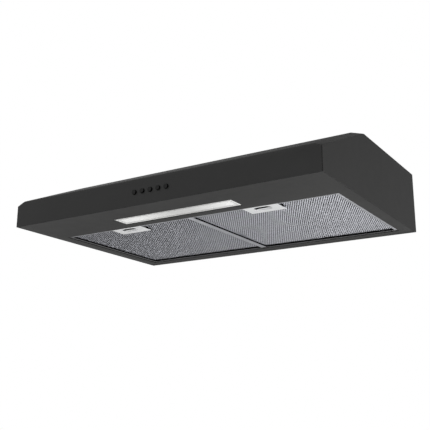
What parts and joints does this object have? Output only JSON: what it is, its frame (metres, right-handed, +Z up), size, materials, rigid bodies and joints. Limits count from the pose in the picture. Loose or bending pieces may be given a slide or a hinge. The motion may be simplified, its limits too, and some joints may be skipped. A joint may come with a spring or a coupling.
{
  "type": "under cabinet range hood",
  "caption": "Slim black under cabinet range hood with push buttons, a long lamp, hinged mesh grease filters and a top duct collar.",
  "frame": {"origin": "on the flat top face that is screwed to the underside of the cabinet, midway between the sides and midway between front and back", "axes": "+X to the right as seen from the front, +Y from the fascia to the wall, +Z up"},
  "size_m": [0.762, 0.5242, 0.168],
  "materials": {
    "black_paint": "satin powder coat",
    "black_plastic": "gloss",
    "mesh_aluminium": "expanded mesh",
    "bright_aluminium": "satin",
    "galvanised": "zinc coated sheet",
    "steel": "plain",
    "white_plastic": "matte",
    "lens": "opal",
    "circuit_board": "white solder resist",
    "grey_plastic": "matte",
    "cable": "sheath"
  },
  "bodies": {
    "hood": {"outer_shell": "black_paint", "side_panel_left": "black_paint", "side_panel_right": "black_paint", "back_panel": "black_paint", "bottom_pan": "black_paint", "button_bezel": "black_plastic", "switch_block": "grey_plastic", "switch_bracket": "galvanised", "lamp_lens": "lens", "lamp_housing": "white_plastic", "led_board": "circuit_board", "led_driver": "white_plastic", "motor_housing": "steel", "motor_cradle": "galvanised", "outlet_collar": "galvanised", "damper_pin": "steel", "wiring_box": "galvanised", "wiring_cover": "galvanised", "cover_screw_1": "steel", "cover_screw_2": "steel", "cable_gland": "grey_plastic", "run_capacitor": "white_plastic", "capacitor_clip": "galvanised", "motor_lead": "cable", "switch_harness": "cable", "lamp_lead": "cable", "button_spring_1": "steel", "button_spring_2": "steel", "button_spring_3": "steel", "button_spring_4": "steel", "button_spring_5": "steel", "hinge_rod_left": "steel", "rod_carrier_left": "galvanised", "scroll_left": "galvanised", "inlet_ring_left": "black_plastic", "cradle_screw_left": "steel", "hinge_rod_right": "steel", "rod_carrier_right": "galvanised", "scroll_right": "galvanised", "inlet_ring_right": "black_plastic", "cradle_screw_right": "steel"},
    "filter_left": {"filter_frame_left": "mesh_aluminium", "filter_mesh_left": "mesh_aluminium", "latch_plate_left": "bright_aluminium", "latch_spring_left": "steel"},
    "filter_right": {"filter_frame_right": "mesh_aluminium", "filter_mesh_right": "mesh_aluminium", "latch_plate_right": "bright_aluminium", "latch_spring_right": "steel"},
    "latch_left": {"latch_slide_left": "bright_aluminium"},
    "latch_right": {"latch_slide_right": "bright_aluminium"},
    "rotor": {"rotor_shaft": "steel", "impeller_left": "galvanised", "impeller_right": "galvanised"},
    "damper": {"damper_flap": "galvanised"},
    "button_1": {"button_1": "black_plastic"},
    "button_2": {"button_2": "black_plastic"},
    "button_3": {"button_3": "black_plastic"},
    "button_4": {"button_4": "black_plastic"},
    "button_5": {"button_5": "black_plastic"}
  },
  "joints": [
    {"name": "filter_left_swing", "type": "hinge", "parent": "hood", "child": "filter_left", "pos_m": [0, 0.2235, -0.1358], "axis": [1, 0, 0], "range_deg": [0, 38]},
    {"name": "filter_right_swing", "type": "hinge", "parent": "hood", "child": "filter_right", "pos_m": [0, 0.2235, -0.1358], "axis": [1, 0, 0], "range_deg": [0, 38]},
    {"name": "latch_left_pull", "type": "slide", "parent": "filter_left", "child": "latch_left", "axis": [0, 1, 0], "range_m": [0, 0.005], "stiffness_N_per_m": 400, "springref_m": -0.004, "deforming": ["latch_spring_left"]},
    {"name": "latch_right_pull", "type": "slide", "parent": "filter_right", "child": "latch_right", "axis": [0, 1, 0], "range_m": [0, 0.005], "stiffness_N_per_m": 400, "springref_m": -0.004, "deforming": ["latch_spring_right"]},
    {"name": "button_1_press", "type": "slide", "parent": "hood", "child": "button_1", "axis": [0, 1, 0], "range_m": [0, 0.003], "stiffness_N_per_m": 600, "springref_m": -0.002, "deforming": ["button_spring_1"]},
    {"name": "button_2_press", "type": "slide", "parent": "hood", "child": "button_2", "axis": [0, 1, 0], "range_m": [0, 0.003], "stiffness_N_per_m": 600, "springref_m": -0.002, "deforming": ["button_spring_2"]},
    {"name": "button_3_press", "type": "slide", "parent": "hood", "child": "button_3", "axis": [0, 1, 0], "range_m": [0, 0.003], "stiffness_N_per_m": 600, "springref_m": -0.002, "deforming": ["button_spring_3"]},
    {"name": "button_4_press", "type": "slide", "parent": "hood", "child": "button_4", "axis": [0, 1, 0], "range_m": [0, 0.003], "stiffness_N_per_m": 600, "springref_m": -0.002, "deforming": ["button_spring_4"]},
    {"name": "button_5_press", "type": "slide", "parent": "hood", "child": "button_5", "axis": [0, 1, 0], "range_m": [0, 0.003], "stiffness_N_per_m": 600, "springref_m": -0.002, "deforming": ["button_spring_5"]},
    {"name": "rotor_spin", "type": "hinge", "parent": "hood", "child": "rotor", "pos_m": [0, 0.13, -0.067], "axis": [1, 0, 0], "continuous": true},
    {"name": "damper_open", "type": "hinge", "parent": "hood", "child": "damper", "pos_m": [0, 0.131, 0.0115], "axis": [1, 0, 0], "range_deg": [0, 80]}
  ]
}
